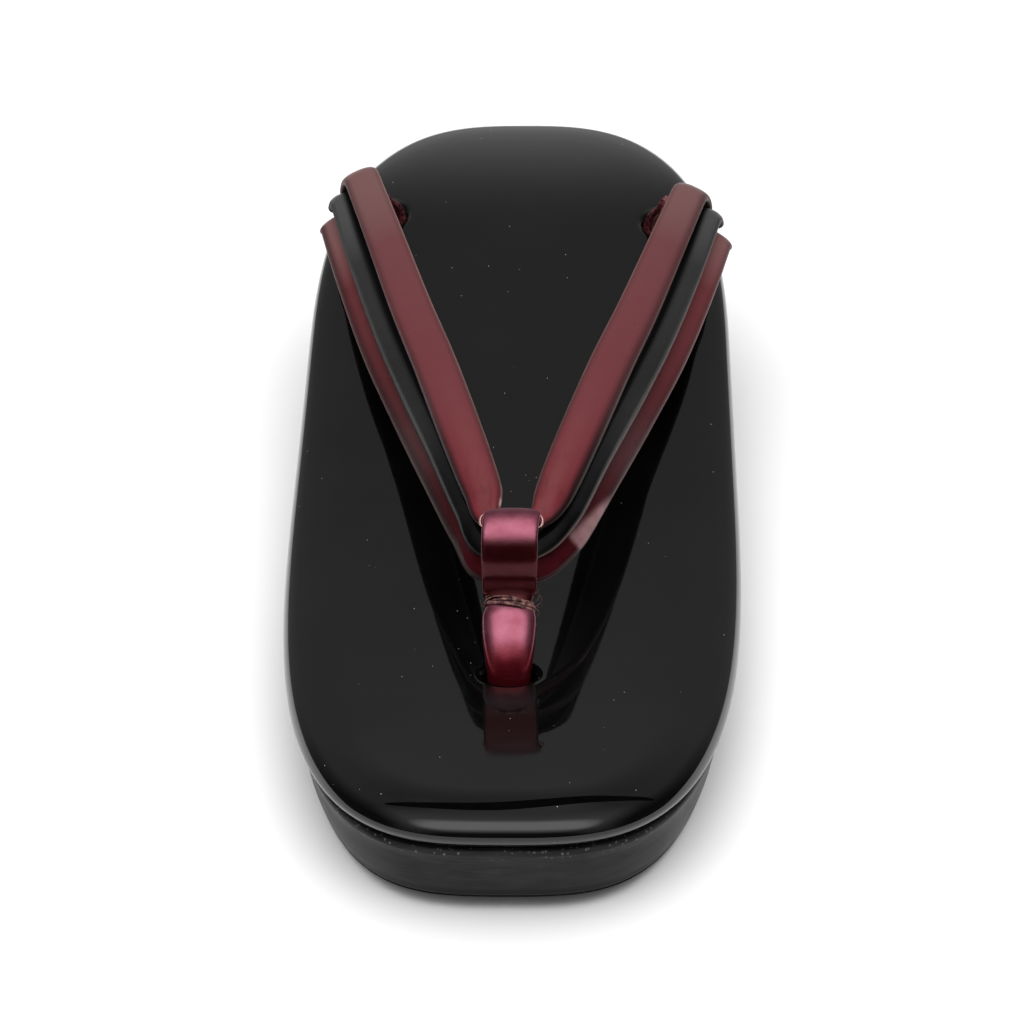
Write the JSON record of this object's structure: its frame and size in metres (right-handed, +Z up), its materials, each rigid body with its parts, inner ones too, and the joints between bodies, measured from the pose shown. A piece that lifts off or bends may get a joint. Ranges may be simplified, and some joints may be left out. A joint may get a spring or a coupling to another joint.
{
  "type": "zori sandal",
  "caption": "Flat-soled sandal with a wedge sole, a padded glossy footbed with a rolled edge and a layered V-shaped thong held by a loop between the toes.",
  "frame": {"origin": "on the floor, under the middle of the footbed's length and width", "axes": "+X to the right seen from the toe's side of the picture, +Y from toe to heel, +Z up"},
  "size_m": [0.0865, 0.24, 0.0505],
  "materials": {
    "patent": "glossy patent, near mirror",
    "wrap": "satin black wrap of the sole's side",
    "burgundy": "satin burgundy with a faint pearl sheen",
    "black_strand": "satin black",
    "pearl": "pearly burgundy, soft shine"
  },
  "bodies": {
    "root": {"sole": "wrap", "footbed": "patent", "hanao_inner": "burgundy", "hanao_middle": "black_strand", "hanao_outer": "burgundy", "maetsubo": "pearl", "maetsubo_binding": "burgundy", "rear_gather_left": "burgundy", "rear_gather_right": "burgundy"}
  },
  "joints": []
}
